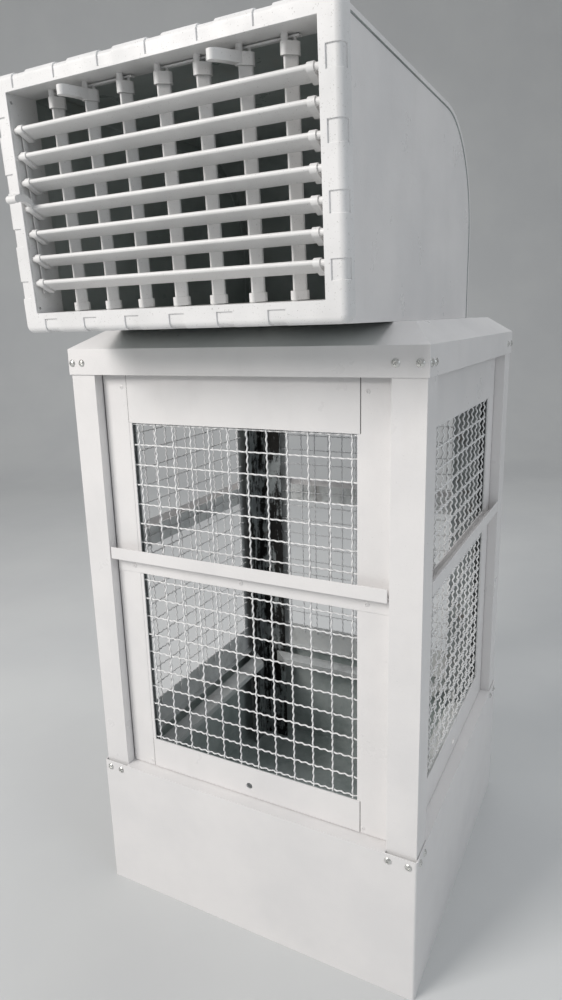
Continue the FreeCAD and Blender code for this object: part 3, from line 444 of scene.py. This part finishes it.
def crimped_wire(bm, start, length, along, swing, phase):
    """A wire along a line that waves to and fro across it, with a crest at the phase distance."""
    steps = int(length / HALF_WAVE) * STEPS_A_HALF_WAVE
    side = along.cross(swing)
    rings = []
    for i in range(steps + 1):
        distance = length * i / steps
        turn = math.pi * (distance - phase) / HALF_WAVE
        centre = start + along * distance + swing * CRIMP * math.cos(turn)
        slope = -CRIMP * math.pi / HALF_WAVE * math.sin(turn)
        tangent = (along + swing * slope).normalized()
        out = side.cross(tangent)
        ring = []
        for k in range(WIRE_SIDES):
            angle = math.tau * k / WIRE_SIDES
            ring.append(centre + (out * math.cos(angle) + side * math.sin(angle)) * WIRE_RADIUS)
        rings.append(ring)
    loft(bm, rings)


def add_mesh(side, degrees, material):
    """Woven crimped mesh of one panel: every wire waves over and under the wires it crosses."""
    low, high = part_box("front_panel_mesh")
    size = high - low
    middle = (low.y + high.y) / 2
    rows = int(size.z / PITCH)
    first_level = (low.z + high.z) / 2 - (rows - 1) / 2 * PITCH
    first_across = -(COLUMNS - 1) / 2 * PITCH
    upward, rightward = Vector((0, 0, 1)), Vector((1, 0, 0))
    bm = bmesh.new()
    for column in range(COLUMNS):
        swing = Vector((0, 1 if column % 2 else -1, 0))
        start = Vector((first_across + column * PITCH, middle, low.z))
        crimped_wire(bm, start, size.z, upward, swing, first_level - low.z)
    for row in range(rows):
        swing = Vector((0, -1 if row % 2 else 1, 0))
        start = Vector((low.x, middle, first_level + row * PITCH))
        crimped_wire(bm, start, size.x, rightward, swing, first_across - low.x)
    woven = piece(side + "_crimped_mesh", bm, material, side + "_panel", degrees)
    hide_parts(side + "_panel_mesh")


# ---------------------------------------------------------------- panel sheets

LAP_REACH = 150.0 * MM
SEAM_WIDTH = 0.8 * MM
FOOT_RAIL_TOP = 236.0 * MM
HEAD_RAIL_BASE = 673.0 * MM
PEEP_HOLE = (0, 209.0 * MM)
PEEP_RADIUS = 4.3 * MM
SHEET_ROUND = 0.3 * MM


def add_rails(side, degrees, white, grime_and_shade):
    """A panel's face sheets: head and foot rails between two stiles, with painted shade in the seams.
    """
    low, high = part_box("front_panel_frame")
    back = low.y + 0.02 * MM
    rail_front = low.y - 0.9 * MM
    stile_front = low.y - 0.45 * MM
    seam_front = low.y - 0.25 * MM
    stile_in = LAP_REACH + SEAM_WIDTH
    body = side + "_panel"

    head = bmesh.new()
    block(head, (-LAP_REACH, rail_front, HEAD_RAIL_BASE - 0.4 * MM), (LAP_REACH, back, high.z - 1 * MM))
    piece(side + "_top_rail", head, white, body, degrees, SHEET_ROUND)

    foot = bmesh.new()
    corner, far_corner = (-LAP_REACH, low.z + 0.6 * MM), (LAP_REACH, FOOT_RAIL_TOP + 0.4 * MM)
    holed_plate(foot, corner, far_corner, PEEP_HOLE, PEEP_RADIUS, rail_front, back)
    piece(side + "_foot_rail", foot, white, body, degrees, SHEET_ROUND)

    stiles = bmesh.new()
    seams = bmesh.new()
    for sign in (-1, 1):
        near, far = sorted((sign * stile_in, sign * (high.x - 0.4 * MM)))
        block(stiles, (near, stile_front, low.z + 0.4 * MM), (far, back, high.z - 0.6 * MM))
        # Dark strips in the gaps between the rail ends and the stiles: painted shade.
        near, far = sorted((sign * (LAP_REACH - 0.1 * MM), sign * (stile_in + 0.1 * MM)))
        for base, top in ((low.z + 1 * MM, FOOT_RAIL_TOP), (HEAD_RAIL_BASE, high.z - 2 * MM)):
            block(seams, (near, seam_front, base), (far, back, top))
    piece(side + "_stiles", stiles, white, body, degrees, SHEET_ROUND)
    piece(side + "_seams", seams, grime_and_shade, body, degrees)


# ---------------------------------------------------------------- whole scene

def slot_finishes():
    """The finish of each material slot in the record."""
    return {
        "white_paint": paint("white_powder_coat", WHITE, WHITE_CLOUD, dust=0.05),
        "wire_coating": paint("wire_coat", (0.88, 0.88, 0.88, 1), (0.76, 0.76, 0.77, 1), dust=0.2),
        "galvanised": galvanised("galvanised_sheet"),
        "louvre_plastic": plastic("louvre_plastic", (0.77, 0.765, 0.76, 1), (0.71, 0.705, 0.70, 1)),
        "fasteners": metal(
            "plated_screws", (0.70, 0.70, 0.68, 1), (0.25, 0.24, 0.22, 1), 0.9, (0.20, 0.38)),
        "motor_enamel": metal(
            "motor_enamel", (0.035, 0.036, 0.04, 1), (0.10, 0.10, 0.10, 1), 0.0, (0.30, 0.50)),
        "fan_plastic": plastic("fan_plastic", (0.045, 0.048, 0.052, 1), (0.06, 0.06, 0.065, 1), 0.2),
        "pump_plastic": plastic("pump_plastic", (0.02, 0.022, 0.028, 1), (0.035, 0.035, 0.04, 1), 0.2),
        "pipe_plastic": plastic("pipe_plastic", (0.35, 0.37, 0.38, 1), (0.26, 0.27, 0.28, 1), 0.3),
        "valve_brass": metal(
            "valve_brass", (0.62, 0.44, 0.17, 1), (0.16, 0.11, 0.06, 1), 0.9, (0.25, 0.50)),
        "float_plastic": plastic(
            "float_plastic", (0.03, 0.11, 0.36, 1), (0.04, 0.13, 0.40, 1), 0.1, (0.2, 0.3)),
        "black_rubber": plastic(
            "black_rubber", (0.012, 0.012, 0.012, 1), (0.02, 0.02, 0.02, 1), 0.3, (0.6, 0.8)),
    }


def finish_nodes(finishes, pale_zinc):
    """Gives every CAD node its slot's finish, then the nodes and inner faces that differ."""
    for part in frame["record"]["subparts"]:
        give(finishes[part["material_slot"]], part["node"])
    bezel = plastic("bezel_plastic", (0.79, 0.785, 0.785, 1), (0.70, 0.70, 0.70, 1), specks=0.7)
    # The hood's floor and inner faces are the same white paint, coloured darker grey-green: painted
    # shade with a painted green reflection; the streaks are dust.
    hood_inside_shade = paint("hood_inside_shade", (0.50, 0.54, 0.53, 1), (0.36, 0.40, 0.39, 1), dust=0.3)
    give(tarred_zinc("tarred_zinc"), "corner_channels")
    give(tank_coat("tank_paint"), "tank")
    give(pale_zinc, "pad_ledges")
    give(bezel, "grille_bezel")
    give(hood_inside_shade, "hood_floor")

    low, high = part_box("hood_wrap")
    # Inner faces of the hood get the painted shade.
    for node in ("hood_wrap", "hood_side_left", "hood_side_right"):
        inward_faces(node, hood_inside_shade, (low + high) / 2)
    low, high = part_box("front_panel_frame")
    cabinet_middle = Vector((0, 0, (low.z + high.z) / 2))
    for side in SIDES:
        give(finishes["white_paint"], side + "_panel_rivets")
        inward_faces(side + "_panel_frame", pale_zinc, cabinet_middle)


def build():
    add_camera()
    add_light()
    add_floor()
    finishes = slot_finishes()
    pale_zinc = galvanised("pale_zinc", (0.74, 0.75, 0.74, 1), rust=0.2, grime_and_shade=0.3, metallic=0.1)
    # Near-black material for the panel seams: painted shade.
    grime_and_shade = metal("seam_shade", (0.10, 0.095, 0.09, 1), (0.22, 0.21, 0.20, 1), 0.0, (0.7, 0.9))
    finish_nodes(finishes, pale_zinc)
    for node in NODES:
        if not node.endswith("_mesh"):
            soften(node)
    for side, degrees in SIDES.items():
        add_mesh(side, degrees, finishes["wire_coating"])
        add_rails(side, degrees, finishes["white_paint"], grime_and_shade)


build()
